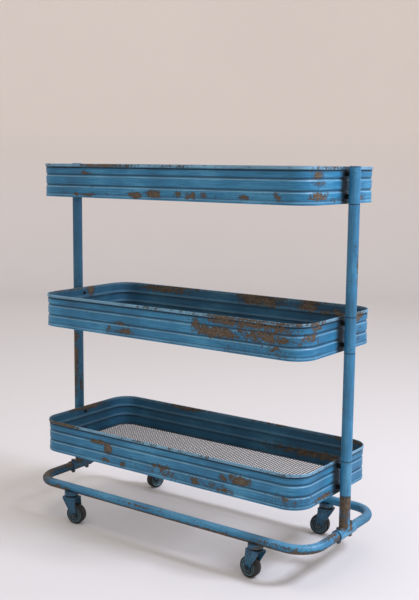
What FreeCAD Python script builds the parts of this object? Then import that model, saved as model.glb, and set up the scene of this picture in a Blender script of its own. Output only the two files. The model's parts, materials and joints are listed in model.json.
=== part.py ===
# Rolling pantry cart: a round-tube base loop on four swivel casters, two
# end posts, and three sheet-metal trays with wire-mesh floors.
# Millimetres. X runs along the cart, Y across it, Z up. The origin is on
# the floor, under the middle of the base loop.
import FreeCAD, Part
import math
import os
import Sketcher
from FreeCAD import Placement, Rotation, Vector

doc = FreeCAD.newDocument("PantryCart")

# ---------------------------------------------------------------- sizes
SIZES = [
    ("sleeve_gap", 9.05, "tray wall to the sleeve beside it"),
    ("frame_width", 326.0, "between the axes of the front and rear rails"),
    ("frame_corner", 60.0, "bend radius of the rails, on their axis"),
    ("rail_od", 22.0, "base rail tube, outside"),
    ("rail_wall", 1.5, "base rail tube, wall"),
    ("post_od", 25.4, "post and sleeve tube, outside"),
    ("post_wall", 1.6, "post and sleeve tube, wall"),
    ("neck_length", 30.0, "reduced post end that plugs into a sleeve"),
    ("plug_gap", 0.05, "clearance of a plugged tube, on the radius"),
    ("tee_wall", 2.15, "collar that joins the two rails, wall"),
    ("tee_length", 76.0, "collar that joins the two rails, length"),
    ("tee_bolt_inset", 11.0, "collar's bolts from its ends"),
    ("stub_height", 86.5, "rail axis to the bottom edge of the lowest tray"),
    ("tray_length", 786.5, "tray wall, outside, along X"),
    ("tray_width", 331.5, "tray wall, outside, along Y"),
    ("tray_corner", 51.0, "tray wall corner radius, outside"),
    ("tray_height", 81.5, "tray wall, bottom edge to top of rim"),
    ("tray_sheet", 1.2, "tray sheet thickness"),
    ("tray_spacing", 331.3, "from one tray to the next"),
    ("rim_height", 7.5, "folded rim, height"),
    ("rim_proud", 1.7, "folded rim, how far it stands out of the wall"),
    ("rim_round", 1.2, "folded rim, radius of its top edges"),
    ("flange", 9.0, "inward flange under the mesh floor"),
    ("groove_depth", 2.2, "pressed groove round the wall, depth"),
    ("groove_half", 4.2, "pressed groove round the wall, half its height"),
    ("groove_low", 29.0, "lower groove's middle, above the tray's bottom edge"),
    ("groove_high", 26.5, "upper groove's middle, below the top of the rim"),
    ("mesh_thick", 2.6, "mesh floor, two crossing wires"),
    ("mesh_gap", 0.4, "mesh floor to the tray wall, all round"),
    ("screw_low", 16.0, "lower tray screw, above the tray's bottom edge"),
    ("screw_high", 15.5, "upper tray screw, below the top of the rim"),
    ("screw_d", 5.0, "tray screw shank"),
    ("screw_head_d", 9.5, "tray screw head"),
    ("screw_head_h", 2.6, "tray screw head height"),
    ("screw_reach", 4.5, "tray screw length past the sleeve's outside"),
    ("screw_tip", 1.0, "chamfer on the tray screw's end"),
    ("spacer_od", 11.0, "spacer between tray and sleeve, outside"),
    ("hole_gap", 0.15, "clearance of a screw or bolt in its hole, on the radius"),
    ("cap_thick", 1.5, "post cap above the sleeve"),
    ("cap_skirt", 9.0, "post cap inside the sleeve"),
    ("bolt_d", 6.0, "collar bolt and axle bolt shank"),
    ("bolt_flats", 10.0, "across the flats of the M6 heads and nuts"),
    ("bolt_head_h", 4.0, "M6 head height"),
    ("nut_h", 5.0, "M6 nut height"),
    ("bolt_tail", 2.0, "bolt past its nut"),
    ("caster_right", 136.0, "right-hand caster stems from the right post's axis"),
    ("caster_left", 125.0, "left-hand caster stems from the left post's axis"),
    ("boss_od", 36.0, "caster boss under the rail, outside"),
    ("boss_height", 6.5, "caster boss's underside to the bottom of the rail"),
    ("boss_seat", 3.0, "how far the boss's saddle laps up the rail"),
    ("pin_d", 10.0, "kingpin shank"),
    ("pin_head_d", 17.0, "kingpin head"),
    ("pin_head_h", 4.0, "kingpin head height"),
    ("pin_chamfer", 1.5, "chamfer round the kingpin head"),
    ("pin_clear", 0.4, "kingpin's tip to the rail above it"),
    ("washer_od", 20.0, "washer on the kingpin head, outside"),
    ("washer_h", 1.0, "washer on the kingpin head, thickness"),
    ("run_gap", 0.05, "running clearance"),
    ("cup_od", 32.0, "ball cup between boss and fork, outside"),
    ("cup_wall", 1.4, "ball cup, sheet thickness"),
    ("cup_height", 4.5, "fork's top to the caster boss's underside"),
    ("cup_lift", 0.6, "ball cup's rim above the fork's crown"),
    ("ball_circle", 22.0, "diameter of the ring of balls"),
    ("ball_count", 16, "balls in one ring"),
    ("crown_room", 20.0, "top of the wheel to the top of the fork"),
    ("crown_thick", 2.2, "fork sheet, crown and legs"),
    ("fork_room", 1.3, "tyre's side to the fork's leg"),
    ("fork_half_length", 19.0, "fork crown, stem to its front or back edge"),
    ("fork_drop", 6.0, "straight part of a leg below the crown's top"),
    ("fork_eye", 7.5, "round end of a leg, radius"),
    ("fork_toe", 35.0, "where a leg's back edge meets its round end, degrees"),
    ("fork_bend", 2.0, "outside bend between crown and leg"),
    ("trail", 15.0, "stem axis to wheel axis"),
    ("wheel_d", 50.0, "wheel diameter"),
    ("wheel_width", 21.0, "tyre width"),
    ("tyre_height", 4.6, "tyre, hub to tread"),
    ("tread_crown", 1.2, "tread's rise in the middle"),
    ("tyre_edge", 1.0, "chamfer at the tyre's edges"),
    ("hub_boss_wall", 4.4, "hub's middle boss, wall at its foot"),
    ("hub_rim_wall", 3.6, "hub's rim, wall at its foot"),
    ("hub_dish", 3.0, "hub's web below its middle boss, each side"),
    ("hub_ring_width", 2.4, "raised ring halfway out on the web, width at its foot"),
    ("hub_ring_height", 1.2, "raised ring on the web, height"),
    ("hub_rim_set", 1.4, "hub's rim below its middle boss, each side"),
    ("hub_draft", 0.4, "lean of the hub's raised ring, each side"),
    ("side_gap", 0.4, "wheel hub to fork leg, each side"),
]

# Turn of each caster about its stem, in degrees, from +X to the wheel.
CASTERS = [
    ("front_left", -1, -1, 8.0),
    ("front_right", 1, -1, 170.0),
    ("rear_left", -1, 1, 78.0),
    ("rear_right", 1, 1, 195.0),
]

sheet = doc.addObject("Spreadsheet::Sheet", "Sizes")
for row, (alias, value, note) in enumerate(SIZES, start=1):
    sheet.set(f"A{row}", str(value))
    sheet.setAlias(f"A{row}", alias)
    sheet.set(f"B{row}", note)
doc.recompute()

# What follows from the sizes, from the floor up.
crown_top = "(Sizes.wheel_d + Sizes.crown_room)"
boss_bottom = f"({crown_top} + Sizes.cup_height)"
rail_height = f"({boss_bottom} + Sizes.boss_height + Sizes.rail_od / 2)"
tray_bottom = f"({rail_height} + Sizes.stub_height)"
frame_length = "(Sizes.tray_length + 2 * Sizes.sleeve_gap + Sizes.post_od)"
tee_od = "(Sizes.rail_od + 2 * Sizes.plug_gap + 2 * Sizes.tee_wall)"
tee_bolt_spacing = "(Sizes.tee_length - 2 * Sizes.tee_bolt_inset)"
screw_high = "(Sizes.tray_height - Sizes.screw_high)"
groove_high = "(Sizes.tray_height - Sizes.groove_high)"
fork_width = "(Sizes.wheel_width + 2 * Sizes.fork_room + 2 * Sizes.crown_thick)"

HEX_TURN = 30.0

pieces = []


def size(formula):
    """The number that a formula of sheet cells gives."""
    return float(sheet.evalExpression(formula))


def keep(piece, label):
    """Name a finished piece; its label is the node's name."""
    piece.Label = label
    pieces.append(piece)
    return piece


def place(piece, x="0", y="0", z="0", turn=0.0):
    """Turn a piece about +Z, then put its own origin at x, y, z."""
    piece.Placement = Placement(Vector(0, 0, 0), Rotation(Vector(0, 0, 1), turn))
    for axis, formula in (("x", x), ("y", y), ("z", z)):
        piece.setExpression(f"Placement.Base.{axis}", formula)


# ------------------------------------------------------ sketch and body tools
def new_body(name):
    return doc.addObject("PartDesign::Body", name)


def new_sketch(body, plane):
    """A sketch on one of the body's own origin planes."""
    sketch = body.newObject("Sketcher::SketchObject", body.Name + "_sketch")
    for feature in body.Origin.OriginFeatures:
        if feature.Role == plane:
            sketch.AttachmentSupport = [(feature, "")]
    sketch.MapMode = "FlatFace"
    return sketch


def pin_point(sketch, geometry, end, x, y):
    """Hold one point of a sketch at the formulas x and y."""
    for formula, kind, axis in ((x, "DistanceX", -2), (y, "DistanceY", -1)):
        value = size(formula)
        if abs(value) < 1e-9:
            sketch.addConstraint(Sketcher.Constraint("PointOnObject", geometry, end, axis))
            continue
        index = sketch.addConstraint(Sketcher.Constraint(kind, -1, 1, geometry, end, value))
        sketch.setExpression(f"Constraints[{index}]", formula)


def circle(sketch, x, y, radius):
    """A circle with its centre and radius bound to formulas."""
    centre = Vector(size(x), size(y), 0)
    index = sketch.addGeometry(Part.Circle(centre, Vector(0, 0, 1), size(radius)), False)
    pin_point(sketch, index, 3, x, y)
    held = sketch.addConstraint(Sketcher.Constraint("Radius", index, size(radius)))
    sketch.setExpression(f"Constraints[{held}]", radius)


def arc_between(start, end, radius, turn):
    """The arc from start to end, turning left (+1) or right (-1)."""
    chord = end - start
    height = math.sqrt(max(radius ** 2 - (chord.Length / 2) ** 2, 0.0))
    normal = Vector(-chord.y, chord.x, 0).normalize()
    centre = (start + end) / 2 + normal * height * turn
    begin = math.atan2(start.y - centre.y, start.x - centre.x)
    finish = math.atan2(end.y - centre.y, end.x - centre.x)
    if turn < 0:
        begin, finish = finish, begin
    full = Part.Circle(centre, Vector(0, 0, 1), radius)
    return Part.ArcOfCircle(full, begin, finish)


def outline(sketch, points, closed=True):
    """Lines and arcs through points, each held by its formulas.

    A point is (x, y) before a line, or (x, y, radius, turn) before an arc.
    """
    spots = [Vector(size(p[0]), size(p[1]), 0) for p in points]
    count = len(points) if closed else len(points) - 1
    ends = []
    for i in range(count):
        start, end = spots[i], spots[(i + 1) % len(points)]
        if len(points[i]) == 4:
            radius, turn = points[i][2], points[i][3]
            index = sketch.addGeometry(arc_between(start, end, size(radius), turn), False)
            held = sketch.addConstraint(Sketcher.Constraint("Radius", index, size(radius)))
            sketch.setExpression(f"Constraints[{held}]", radius)
            ends.append((index, 1, 2) if turn > 0 else (index, 2, 1))
        else:
            index = sketch.addGeometry(Part.LineSegment(start, end), False)
            ends.append((index, 1, 2))
    for i, (index, first, last) in enumerate(ends):
        pin_point(sketch, index, first, points[i][0], points[i][1])
        if closed or i + 1 < count:
            after = ends[(i + 1) % count]
            joint = Sketcher.Constraint("Coincident", index, last, after[0], after[1])
            sketch.addConstraint(joint)
    if not closed:
        index, first, last = ends[-1]
        pin_point(sketch, index, last, points[-1][0], points[-1][1])


def pad(body, sketch, length, both_ways=False):
    feature = body.newObject("PartDesign::Pad", body.Name + "_pad")
    feature.Profile = (sketch, [""])
    feature.SideType = "Symmetric" if both_ways else "One side"
    feature.setExpression("Length", length)
    return feature


def pocket(body, sketch, length, both_ways=True, reverse=False):
    feature = body.newObject("PartDesign::Pocket", body.Name + "_pocket")
    feature.Profile = (sketch, [""])
    feature.SideType = "Symmetric" if both_ways else "One side"
    feature.Reversed = reverse
    feature.setExpression("Length", length)
    return feature


def revolve(body, sketch, axis):
    feature = body.newObject("PartDesign::Revolution", body.Name + "_revolution")
    feature.Profile = (sketch, [""])
    feature.ReferenceAxis = (sketch, [axis])
    feature.Angle = 360
    return feature


def pipe(body, profile, path):
    feature = body.newObject("PartDesign::AdditivePipe", body.Name + "_pipe")
    feature.Profile = (profile, [""])
    feature.Spine = (path, [])
    feature.Mode = "Frenet"
    return feature


def turned(name, points, axis="V_Axis", plane="XZ_Plane"):
    """A body turned from one half outline."""
    body = new_body(name)
    sketch = new_sketch(body, plane)
    outline(sketch, points)
    revolve(body, sketch, axis)
    return body


def group(label, form, places):
    """Copies of one form as separate solids of one piece."""
    piece = doc.addObject("Part::Feature", label)
    copies = []
    for spot in places:
        copy = form.Shape.copy()
        copy.Placement = spot.multiply(copy.Placement)
        copies.append(copy)
    piece.Shape = Part.makeCompound(copies)
    return keep(piece, label)


def at(x, y, z, turn=0.0):
    return Placement(Vector(x, y, z), Rotation(Vector(0, 0, 1), turn))


ENDS = [("left", -1, 180.0), ("right", 1, 0.0)]
LEVELS = [("bottom", 0), ("middle", 1), ("top", 2)]


def tray_base(level):
    return f"{tray_bottom} + {level} * Sizes.tray_spacing"


# ---------------------------------------------------------------- base rails
def make_rail(label, turn):
    """Half of the base loop: a tube bent through two corners."""
    body = new_body(label)
    end = f"{frame_length} / 2"
    side = "Sizes.frame_width / 2"
    bend = "Sizes.frame_corner"
    path = new_sketch(body, "XY_Plane")
    outline(path, [
        (f"-({end})", "0"),
        (f"-({end})", f"-({side} - {bend})", bend, 1),
        (f"-({end} - {bend})", f"-({side})"),
        (f"{end} - {bend}", f"-({side})", bend, 1),
        (end, f"-({side} - {bend})"),
        (end, "0"),
    ], closed=False)
    ring = new_sketch(body, "XZ_Plane")
    circle(ring, f"-({end})", "0", "Sizes.rail_od / 2")
    circle(ring, f"-({end})", "0", "Sizes.rail_od / 2 - Sizes.rail_wall")
    pipe(body, ring, path)
    holes = new_sketch(body, "XY_Plane")
    for sign in ("-", ""):
        spot = f"{sign}{frame_length} / 2"
        circle(holes, spot, f"-{tee_bolt_spacing} / 2", "Sizes.bolt_d / 2 + Sizes.hole_gap")
    pocket(body, holes, "Sizes.rail_od * 2")
    place(body, z=rail_height, turn=turn)
    keep(body, label)


def make_tee(label, sign, turn):
    """Collar over the rail ends, with the stub of the post welded on."""
    body = new_body(label)
    collar = new_sketch(body, "XZ_Plane")
    circle(collar, "0", "0", f"{tee_od} / 2")
    pad(body, collar, "Sizes.tee_length", both_ways=True)
    stub = new_sketch(body, "XY_Plane")
    circle(stub, "0", "0", "Sizes.post_od / 2")
    pad(body, stub, "Sizes.stub_height")
    neck = new_sketch(body, "XY_Plane")
    circle(neck, "0", "0", "Sizes.post_od / 2 - Sizes.post_wall - Sizes.plug_gap")
    pad(body, neck, "Sizes.stub_height + Sizes.neck_length")
    bore = new_sketch(body, "XZ_Plane")
    circle(bore, "0", "0", "Sizes.rail_od / 2 + Sizes.plug_gap")
    pocket(body, bore, "Sizes.tee_length * 2")
    inside = new_sketch(body, "XY_Plane")
    circle(inside, "0", "0", "Sizes.post_od / 2 - 2 * Sizes.post_wall - Sizes.plug_gap")
    pocket(body, inside, "Sizes.stub_height + Sizes.neck_length * 2",
           both_ways=False, reverse=True)
    bolts = new_sketch(body, "XY_Plane")
    for side in ("-", ""):
        spot = f"{side}{tee_bolt_spacing} / 2"
        circle(bolts, "0", spot, "Sizes.bolt_d / 2 + Sizes.hole_gap")
    pocket(body, bolts, f"{tee_od} * 2")
    screw = new_sketch(body, "YZ_Plane")
    circle(screw, "0", "Sizes.stub_height + Sizes.screw_low",
           "Sizes.screw_d / 2 + Sizes.hole_gap")
    pocket(body, screw, "Sizes.post_od", both_ways=False)
    place(body, x=f"{sign} * {frame_length} / 2", z=rail_height, turn=turn)
    keep(body, label)


make_rail("front_rail", 0.0)
make_rail("rear_rail", 180.0)
for end, sign, turn in ENDS:
    make_tee(f"{end}_tee", sign, turn)


# ------------------------------------------------------------- hex fasteners
def hexagon(name, flats, height, lift):
    """A hexagonal prism, its flats square to Y, its base at lift."""
    prism = doc.addObject("Part::Prism", name)
    prism.Polygon = 6
    prism.setExpression("Circumradius", f"({flats}) / 2 / cos(30)")
    prism.setExpression("Height", height)
    prism.setExpression("Placement.Base.z", lift)
    return prism


def cylinder(name, radius, height, lift="0"):
    solid = doc.addObject("Part::Cylinder", name)
    solid.setExpression("Radius", radius)
    solid.setExpression("Height", height)
    solid.setExpression("Placement.Base.z", lift)
    return solid


def fuse(name, base, tool):
    solid = doc.addObject("Part::Fuse", name)
    solid.Base = base
    solid.Tool = tool
    return solid


def cut(name, base, tool):
    solid = doc.addObject("Part::Cut", name)
    solid.Base = base
    solid.Tool = tool
    return solid


def hex_bolt(name, grip):
    """Head above z = 0, shank below it through the grip and a nut."""
    head = hexagon(name + "_head", "Sizes.bolt_flats", "Sizes.bolt_head_h", "0")
    length = f"({grip}) + Sizes.nut_h + Sizes.bolt_tail"
    shank = cylinder(name + "_shank", "Sizes.bolt_d / 2", length, f"-({length})")
    return fuse(name, head, shank)


def hex_nut(name):
    """A nut whose top face is at z = 0."""
    block = hexagon(name + "_block", "Sizes.bolt_flats", "Sizes.nut_h", "-Sizes.nut_h")
    clear = "Sizes.bolt_d / 2 + Sizes.run_gap"
    bore = cylinder(name + "_bore", clear, "Sizes.nut_h * 3", "-Sizes.nut_h * 2")
    return cut(name, block, bore)


tee_bolt = hex_bolt("tee_bolt_form", tee_od)
tee_nut = hex_nut("tee_nut_form")
doc.recompute()

bolt_spots = []
nut_spots = []
for end, sign, turn in ENDS:
    for side in (-1, 1):
        x = sign * size(f"{frame_length} / 2")
        y = side * size(f"{tee_bolt_spacing} / 2")
        bolt_spots.append(at(x, y, size(f"{rail_height} + {tee_od} / 2"), HEX_TURN))
        nut_spots.append(at(x, y, size(f"{rail_height} - {tee_od} / 2"), HEX_TURN))
group("tee_bolts", tee_bolt, bolt_spots)
group("tee_nuts", tee_nut, nut_spots)


# -------------------------------------------------------- posts and sleeves
def make_post(label, sign, turn, level):
    """Tube between two sleeves, reduced at both ends to plug into them."""
    outer = "Sizes.post_od / 2"
    inner = "Sizes.post_od / 2 - Sizes.post_wall"
    neck = "Sizes.post_od / 2 - Sizes.post_wall - Sizes.plug_gap"
    bore = "Sizes.post_od / 2 - 2 * Sizes.post_wall - Sizes.plug_gap"
    length = "Sizes.tray_spacing - Sizes.tray_height"
    body = turned(label, [
        (bore, "-Sizes.neck_length"),
        (neck, "-Sizes.neck_length"),
        (neck, "0"),
        (outer, "0"),
        (outer, length),
        (neck, length),
        (neck, f"{length} + Sizes.neck_length"),
        (bore, f"{length} + Sizes.neck_length"),
        (bore, f"{length} - Sizes.post_wall"),
        (inner, f"{length} - Sizes.post_wall"),
        (inner, "Sizes.post_wall"),
        (bore, "Sizes.post_wall"),
    ])
    holes = new_sketch(body, "YZ_Plane")
    hole = "Sizes.screw_d / 2 + Sizes.hole_gap"
    circle(holes, "0", f"{screw_high} - Sizes.tray_height", hole)
    circle(holes, "0", f"{length} + Sizes.screw_low", hole)
    pocket(body, holes, "Sizes.post_od", both_ways=False)
    foot = f"{tray_base(level)} + Sizes.tray_height"
    place(body, x=f"{sign} * {frame_length} / 2", z=foot, turn=turn)
    keep(body, label)


def make_sleeve(label, sign, turn, level):
    """Socket tube as tall as the tray that it carries."""
    body = new_body(label)
    ring = new_sketch(body, "XY_Plane")
    circle(ring, "0", "0", "Sizes.post_od / 2")
    circle(ring, "0", "0", "Sizes.post_od / 2 - Sizes.post_wall")
    pad(body, ring, "Sizes.tray_height")
    holes = new_sketch(body, "YZ_Plane")
    for height in ("Sizes.screw_low", screw_high):
        circle(holes, "0", height, "Sizes.screw_d / 2 + Sizes.hole_gap")
    pocket(body, holes, "Sizes.post_od", both_ways=False)
    place(body, x=f"{sign} * {frame_length} / 2", z=tray_base(level), turn=turn)
    keep(body, label)


def make_cap(label, sign, turn):
    """Pressed cap that closes the top sleeve."""
    outer = "Sizes.post_od / 2"
    neck = "Sizes.post_od / 2 - Sizes.post_wall - Sizes.plug_gap"
    body = turned(label, [
        ("0", "0"),
        (f"{neck} - Sizes.post_wall", "0"),
        (f"{neck} - Sizes.post_wall", "-Sizes.cap_skirt"),
        (neck, "-Sizes.cap_skirt"),
        (neck, "0"),
        (outer, "0"),
        (outer, "Sizes.cap_thick / 3"),
        (f"{outer} - Sizes.cap_thick", "Sizes.cap_thick"),
        ("0", "Sizes.cap_thick"),
    ])
    top = f"{tray_base(2)} + Sizes.tray_height"
    place(body, x=f"{sign} * {frame_length} / 2", z=top, turn=turn)
    keep(body, label)


for end, sign, turn in ENDS:
    make_post(f"{end}_lower_post", sign, turn, 0)
    make_post(f"{end}_upper_post", sign, turn, 1)
    for level_name, level in LEVELS:
        make_sleeve(f"{end}_{level_name}_sleeve", sign, turn, level)
    make_cap(f"{end}_post_cap", sign, turn)


# --------------------------------------------------------------------- trays
def rounded_rectangle(length, width, corner):
    """Outline points from the middle of the front side, round to the left."""
    x, y = f"({length}) / 2", f"({width}) / 2"
    return [
        ("0", f"-{y}"),
        (f"{x} - ({corner})", f"-{y}", corner, 1),
        (x, f"-({y} - ({corner}))"),
        (x, f"{y} - ({corner})", corner, 1),
        (f"{x} - ({corner})", y),
        (f"-({x} - ({corner}))", y, corner, 1),
        (f"-{x}", f"{y} - ({corner})"),
        (f"-{x}", f"-({y} - ({corner}))", corner, 1),
        (f"-({x} - ({corner}))", f"-{y}"),
    ]


def wall_section():
    """Section of the tray wall: flange, two pressed grooves, folded rim."""
    face = "-Sizes.tray_width / 2"
    sheet_in = f"{face} + Sizes.tray_sheet"
    top = "Sizes.tray_height"
    deep = "(Sizes.groove_half ^ 2 + Sizes.groove_depth ^ 2) / (2 * Sizes.groove_depth)"
    back_half = "(Sizes.groove_half + Sizes.tray_sheet / 2)"
    back = f"(({back_half}) ^ 2 + Sizes.groove_depth ^ 2) / (2 * Sizes.groove_depth)"
    points = [
        (face, "0"),
        (f"{face} + Sizes.flange", "0"),
        (f"{face} + Sizes.flange", "Sizes.tray_sheet"),
        (sheet_in, "Sizes.tray_sheet"),
    ]
    for middle in ("Sizes.groove_low", groove_high):
        points += [
            (sheet_in, f"{middle} - {back_half}", back, 1),
            (sheet_in, f"{middle} + {back_half}"),
        ]
    points += [
        (sheet_in, f"{top} - Sizes.rim_round", "Sizes.rim_round", 1),
        (f"{sheet_in} - Sizes.rim_round", top),
        (f"{face} - Sizes.rim_proud + Sizes.rim_round", top, "Sizes.rim_round", 1),
        (f"{face} - Sizes.rim_proud", f"{top} - Sizes.rim_round"),
        (f"{face} - Sizes.rim_proud", f"{top} - Sizes.rim_height"),
        (face, f"{top} - Sizes.rim_height"),
    ]
    for middle in (groove_high, "Sizes.groove_low"):
        points += [
            (face, f"{middle} + Sizes.groove_half", deep, -1),
            (face, f"{middle} - Sizes.groove_half"),
        ]
    return points


def make_tray_wall(label, level):
    body = new_body(label)
    path = new_sketch(body, "XY_Plane")
    outline(path, rounded_rectangle("Sizes.tray_length", "Sizes.tray_width", "Sizes.tray_corner"))
    section = new_sketch(body, "YZ_Plane")
    outline(section, wall_section())
    pipe(body, section, path)
    holes = new_sketch(body, "YZ_Plane")
    for height in ("Sizes.screw_low", screw_high):
        circle(holes, "0", height, "Sizes.screw_d / 2 + Sizes.hole_gap")
    pocket(body, holes, "Sizes.tray_length * 2")
    place(body, z=tray_base(level))
    keep(body, label)


def make_tray_floor(label, level):
    """Mesh floor as the plain panel that its crossing wires fill."""
    body = new_body(label)
    sketch = new_sketch(body, "XY_Plane")
    inset = "(Sizes.tray_sheet + Sizes.mesh_gap)"
    outline(sketch, rounded_rectangle(
        f"Sizes.tray_length - 2 * {inset}",
        f"Sizes.tray_width - 2 * {inset}",
        f"Sizes.tray_corner - {inset}",
    ))
    pad(body, sketch, "Sizes.mesh_thick")
    place(body, z=f"{tray_base(level)} + Sizes.tray_sheet")
    keep(body, label)


for level_name, level in LEVELS:
    make_tray_wall(f"{level_name}_tray_wall", level)
    make_tray_floor(f"{level_name}_tray_floor", level)


# ------------------------------------------------- spacers and tray screws
# Both forms lie along +X, from the tray wall's outside face at x = 0.
reach = f"({frame_length} - Sizes.tray_length) / 2"
tube = cylinder("spacer_tube", "Sizes.spacer_od / 2", reach)
bore = cylinder("spacer_bore", "Sizes.screw_d / 2 + Sizes.hole_gap", reach)
sleeve_tool = cylinder("spacer_sleeve", "Sizes.post_od / 2", "Sizes.spacer_od * 2")
for solid in (tube, bore):
    solid.Placement = Placement(Vector(0, 0, 0), Rotation(Vector(0, 1, 0), 90))
sleeve_tool.setExpression("Placement.Base.x", reach)
sleeve_tool.setExpression("Placement.Base.z", "-Sizes.spacer_od")
spacer_form = cut("spacer_form", cut("spacer_drilled", tube, bore), sleeve_tool)

screw_form = turned("screw_form", [
    ("0", "-(Sizes.tray_sheet + Sizes.screw_head_h)"),
    ("Sizes.screw_head_d / 4", "-(Sizes.tray_sheet + Sizes.screw_head_h)"),
    ("Sizes.screw_head_d / 2", "-(Sizes.tray_sheet + Sizes.screw_head_h / 2)"),
    ("Sizes.screw_head_d / 2", "-Sizes.tray_sheet"),
    ("Sizes.screw_d / 2", "-Sizes.tray_sheet"),
    ("Sizes.screw_d / 2", f"{reach} - Sizes.post_od / 2 + Sizes.screw_reach - Sizes.screw_tip"),
    ("Sizes.screw_d / 2 - Sizes.screw_tip", f"{reach} - Sizes.post_od / 2 + Sizes.screw_reach"),
    ("0", f"{reach} - Sizes.post_od / 2 + Sizes.screw_reach"),
])
screw_form.Placement = Placement(Vector(0, 0, 0), Rotation(Vector(0, 1, 0), 90))
doc.recompute()

screw_spots = []
for end, sign, turn in ENDS:
    for level_name, level in LEVELS:
        for height in ("Sizes.screw_low", screw_high):
            z = size(f"{tray_base(level)} + {height}")
            screw_spots.append(at(sign * size("Sizes.tray_length / 2"), 0, z, turn))
group("tray_spacers", spacer_form, screw_spots)
group("tray_screws", screw_form, screw_spots)


# ------------------------------------------- caster parts fixed to the frame
def caster_x(side):
    if side > 0:
        return f"({frame_length} / 2 - Sizes.caster_right)"
    return f"-({frame_length} / 2 - Sizes.caster_left)"


def caster_y(side):
    return f"{side} * Sizes.frame_width / 2"


def make_boss(label, x_side, y_side):
    """Short boss under the rail, its top cut to the tube's round."""
    top = f"{rail_height} - Sizes.rail_od / 2 + Sizes.boss_seat"
    block = cylinder(label + "_block", "Sizes.boss_od / 2", f"{top} - {boss_bottom}", boss_bottom)
    hole = cylinder(label + "_hole", "Sizes.pin_d / 2 + Sizes.plug_gap", "Sizes.boss_od", boss_bottom)
    rail = doc.addObject("Part::Cylinder", label + "_rail")
    rail.setExpression("Radius", "Sizes.rail_od / 2 + Sizes.plug_gap")
    rail.setExpression("Height", "Sizes.boss_od * 2")
    rail.Placement = Placement(Vector(0, 0, 0), Rotation(Vector(0, 1, 0), 90))
    rail.setExpression("Placement.Base.x", "-Sizes.boss_od")
    rail.setExpression("Placement.Base.z", rail_height)
    drilled = cut(label + "_drilled", block, hole)
    body = cut(label, drilled, rail)
    place(body, x=caster_x(x_side), y=caster_y(y_side))
    keep(body, label)


under_crown = f"{crown_top} - Sizes.crown_thick"
washer_top = f"{under_crown} - Sizes.run_gap"
pin_tip = f"{rail_height} - Sizes.rail_od / 2 - Sizes.pin_clear"
pin_head_low = f"{washer_top} - Sizes.washer_h - Sizes.pin_head_h"
pin_form = turned("pin_form", [
    ("0", pin_head_low),
    ("Sizes.pin_head_d / 2 - Sizes.pin_chamfer", pin_head_low),
    ("Sizes.pin_head_d / 2", f"{pin_head_low} + Sizes.pin_chamfer"),
    ("Sizes.pin_head_d / 2", f"{washer_top} - Sizes.washer_h"),
    ("Sizes.pin_d / 2", f"{washer_top} - Sizes.washer_h"),
    ("Sizes.pin_d / 2", pin_tip),
    ("0", pin_tip),
])
washer_form = turned("washer_form", [
    ("Sizes.pin_d / 2 + Sizes.plug_gap", f"{washer_top} - Sizes.washer_h"),
    ("Sizes.washer_od / 2", f"{washer_top} - Sizes.washer_h"),
    ("Sizes.washer_od / 2", washer_top),
    ("Sizes.pin_d / 2 + Sizes.plug_gap", washer_top),
])
cup_form = turned("cup_form", [
    ("Sizes.pin_d / 2 + Sizes.plug_gap", f"{boss_bottom} - Sizes.cup_wall"),
    ("Sizes.cup_od / 2 - Sizes.cup_wall", f"{boss_bottom} - Sizes.cup_wall"),
    ("Sizes.cup_od / 2 - Sizes.cup_wall", f"{crown_top} + Sizes.cup_lift"),
    ("Sizes.cup_od / 2", f"{crown_top} + Sizes.cup_lift"),
    ("Sizes.cup_od / 2", f"{boss_bottom} - Sizes.cup_wall"),
    ("Sizes.cup_od / 2 - Sizes.cup_wall", boss_bottom),
    ("Sizes.pin_d / 2 + Sizes.plug_gap", boss_bottom),
])
ball_space = f"{boss_bottom} - Sizes.cup_wall - {crown_top}"
ball_form = doc.addObject("Part::Sphere", "ball_form")
ball_form.setExpression("Radius", f"({ball_space}) / 2 - Sizes.run_gap")
ball_form.setExpression("Placement.Base.z", f"{crown_top} + ({ball_space}) / 2")
doc.recompute()

for name, x_side, y_side, turn in CASTERS:
    make_boss(f"{name}_caster_boss", x_side, y_side)

stem_spots = []
ball_spots = []
for name, x_side, y_side, turn in CASTERS:
    x = size(caster_x(x_side))
    y = size(caster_y(y_side))
    stem_spots.append(at(x, y, 0))
    for i in range(int(size("Sizes.ball_count"))):
        around = 2 * math.pi * i / size("Sizes.ball_count")
        ring = size("Sizes.ball_circle / 2")
        ball_spots.append(at(x + ring * math.cos(around), y + ring * math.sin(around), 0))
group("kingpins", pin_form, stem_spots)
group("kingpin_washers", washer_form, stem_spots)
group("ball_cups", cup_form, stem_spots)
group("swivel_balls", ball_form, ball_spots)


# ------------------------------------------------------ forks and wheels
# A caster's own frame: origin on the floor under the stem, +X to the wheel,
# Y along the axle.
axle_height = "Sizes.wheel_d / 2"
leg_outside = f"{fork_width} / 2"
hub_half = f"({fork_width} / 2 - Sizes.crown_thick - Sizes.side_gap)"


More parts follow.
